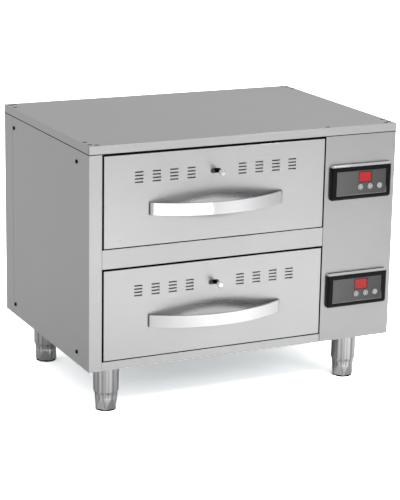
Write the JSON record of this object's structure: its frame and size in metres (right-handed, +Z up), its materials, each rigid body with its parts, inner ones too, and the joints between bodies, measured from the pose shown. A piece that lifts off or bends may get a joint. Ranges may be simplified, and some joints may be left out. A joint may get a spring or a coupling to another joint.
{
  "type": "countertop warming drawer",
  "caption": "Stainless countertop warming cabinet with stacked flush drawers, bowed strap handles, sliding vents, side controllers and adjustable round legs.",
  "frame": {"origin": "on the floor, under the centre of the whole outline, handles, side screws and cable gland included", "axes": "+X to the right seen from the front, +Y to the back, +Z up; the drawers open towards -Y"},
  "size_m": [0.7044, 0.554, 0.573],
  "materials": {
    "brushed_sheet": "stainless sheet, long grain, satin",
    "galvanised_sheet": "galvanised inner sheet, dull",
    "polished_steel": "polished stainless",
    "leg_steel": "turned stainless tube, satin",
    "mineral_wool": "matt fibre",
    "silicone": "matt silicone",
    "black_moulding": "satin black moulding",
    "grey_face": "smooth grey film",
    "red_display": "red filter",
    "key_grey": "smooth grey key",
    "board_green": "lacquered circuit board",
    "heater_sheath": "heat-darkened sheath"
  },
  "bodies": {
    "cabinet": {"worktop": "brushed_sheet", "left_side_panel": "brushed_sheet", "right_side_panel": "brushed_sheet", "rear_panel": "brushed_sheet", "base_panel": "galvanised_sheet", "front_left_post": "brushed_sheet", "control_panel": "brushed_sheet", "middle_rail": "brushed_sheet", "bottom_rail": "brushed_sheet", "top_rail": "galvanised_sheet", "divider_panel": "galvanised_sheet", "insulation": "mineral_wool", "temperature_probes": "heater_sheath", "side_screws": "polished_steel", "cable_gland": "black_moulding", "legs": "leg_steel", "upper_liner": "brushed_sheet", "upper_heater": "heater_sheath", "upper_fixed_rails": "galvanised_sheet", "upper_controller_housing": "black_moulding", "upper_controller_face": "grey_face", "upper_controller_board": "board_green", "upper_display": "red_display", "lower_liner": "brushed_sheet", "lower_heater": "heater_sheath", "lower_fixed_rails": "galvanised_sheet", "lower_controller_housing": "black_moulding", "lower_controller_face": "grey_face", "lower_controller_board": "board_green", "lower_display": "red_display"},
    "upper_drawer": {"upper_front_skin": "brushed_sheet", "upper_inner_panel": "brushed_sheet", "upper_front_insulation": "mineral_wool", "upper_handle": "polished_steel", "upper_gasket": "silicone", "upper_tub": "brushed_sheet", "upper_sliding_rails": "galvanised_sheet"},
    "upper_runner_middles": {"upper_middle_rails": "galvanised_sheet"},
    "upper_vent": {"upper_vent_slide": "brushed_sheet", "upper_vent_knob": "polished_steel"},
    "upper_up_key": {"upper_key_up": "key_grey"},
    "upper_down_key": {"upper_key_down": "key_grey"},
    "upper_set_key": {"upper_key_set": "key_grey"},
    "lower_drawer": {"lower_front_skin": "brushed_sheet", "lower_inner_panel": "brushed_sheet", "lower_front_insulation": "mineral_wool", "lower_handle": "polished_steel", "lower_gasket": "silicone", "lower_tub": "brushed_sheet", "lower_sliding_rails": "galvanised_sheet"},
    "lower_runner_middles": {"lower_middle_rails": "galvanised_sheet"},
    "lower_vent": {"lower_vent_slide": "brushed_sheet", "lower_vent_knob": "polished_steel"},
    "lower_up_key": {"lower_key_up": "key_grey"},
    "lower_down_key": {"lower_key_down": "key_grey"},
    "lower_set_key": {"lower_key_set": "key_grey"},
    "front_left_foot": {"foot_front_left": "leg_steel"},
    "front_right_foot": {"foot_front_right": "leg_steel"},
    "rear_left_foot": {"foot_rear_left": "leg_steel"},
    "rear_right_foot": {"foot_rear_right": "leg_steel"}
  },
  "joints": [
    {"name": "upper_drawer_slide", "type": "slide", "parent": "cabinet", "child": "upper_drawer", "axis": [0, -1, 0], "range_m": [0, 0.38]},
    {"name": "upper_runner_slide", "type": "slide", "parent": "cabinet", "child": "upper_runner_middles", "axis": [0, -1, 0], "range_m": [0, 0.19]},
    {"name": "upper_vent_slide_joint", "type": "slide", "parent": "upper_drawer", "child": "upper_vent", "axis": [1, 0, 0], "range_m": [-0.01, 0.004]},
    {"name": "upper_up_key_press", "type": "slide", "parent": "cabinet", "child": "upper_up_key", "axis": [0, 1, 0], "range_m": [0, 0.0008], "stiffness_N_per_m": 600, "springref_m": -0.001},
    {"name": "upper_down_key_press", "type": "slide", "parent": "cabinet", "child": "upper_down_key", "axis": [0, 1, 0], "range_m": [0, 0.0008], "stiffness_N_per_m": 600, "springref_m": -0.001},
    {"name": "upper_set_key_press", "type": "slide", "parent": "cabinet", "child": "upper_set_key", "axis": [0, 1, 0], "range_m": [0, 0.0008], "stiffness_N_per_m": 600, "springref_m": -0.001},
    {"name": "lower_drawer_slide", "type": "slide", "parent": "cabinet", "child": "lower_drawer", "axis": [0, -1, 0], "range_m": [0, 0.38]},
    {"name": "lower_runner_slide", "type": "slide", "parent": "cabinet", "child": "lower_runner_middles", "axis": [0, -1, 0], "range_m": [0, 0.19]},
    {"name": "lower_vent_slide_joint", "type": "slide", "parent": "lower_drawer", "child": "lower_vent", "axis": [1, 0, 0], "range_m": [-0.01, 0.004]},
    {"name": "lower_up_key_press", "type": "slide", "parent": "cabinet", "child": "lower_up_key", "axis": [0, 1, 0], "range_m": [0, 0.0008], "stiffness_N_per_m": 600, "springref_m": -0.001},
    {"name": "lower_down_key_press", "type": "slide", "parent": "cabinet", "child": "lower_down_key", "axis": [0, 1, 0], "range_m": [0, 0.0008], "stiffness_N_per_m": 600, "springref_m": -0.001},
    {"name": "lower_set_key_press", "type": "slide", "parent": "cabinet", "child": "lower_set_key", "axis": [0, 1, 0], "range_m": [0, 0.0008], "stiffness_N_per_m": 600, "springref_m": -0.001},
    {"name": "front_left_foot_screw", "type": "slide", "parent": "cabinet", "child": "front_left_foot", "axis": [0, 0, -1], "range_m": [0, 0.02]},
    {"name": "front_right_foot_screw", "type": "slide", "parent": "cabinet", "child": "front_right_foot", "axis": [0, 0, -1], "range_m": [0, 0.02]},
    {"name": "rear_left_foot_screw", "type": "slide", "parent": "cabinet", "child": "rear_left_foot", "axis": [0, 0, -1], "range_m": [0, 0.02]},
    {"name": "rear_right_foot_screw", "type": "slide", "parent": "cabinet", "child": "rear_right_foot", "axis": [0, 0, -1], "range_m": [0, 0.02]}
  ],
  "couplings": [
    {"joint": "upper_runner_slide", "follows": "upper_drawer_slide", "ratio": 0.5},
    {"joint": "lower_runner_slide", "follows": "lower_drawer_slide", "ratio": 0.5}
  ]
}
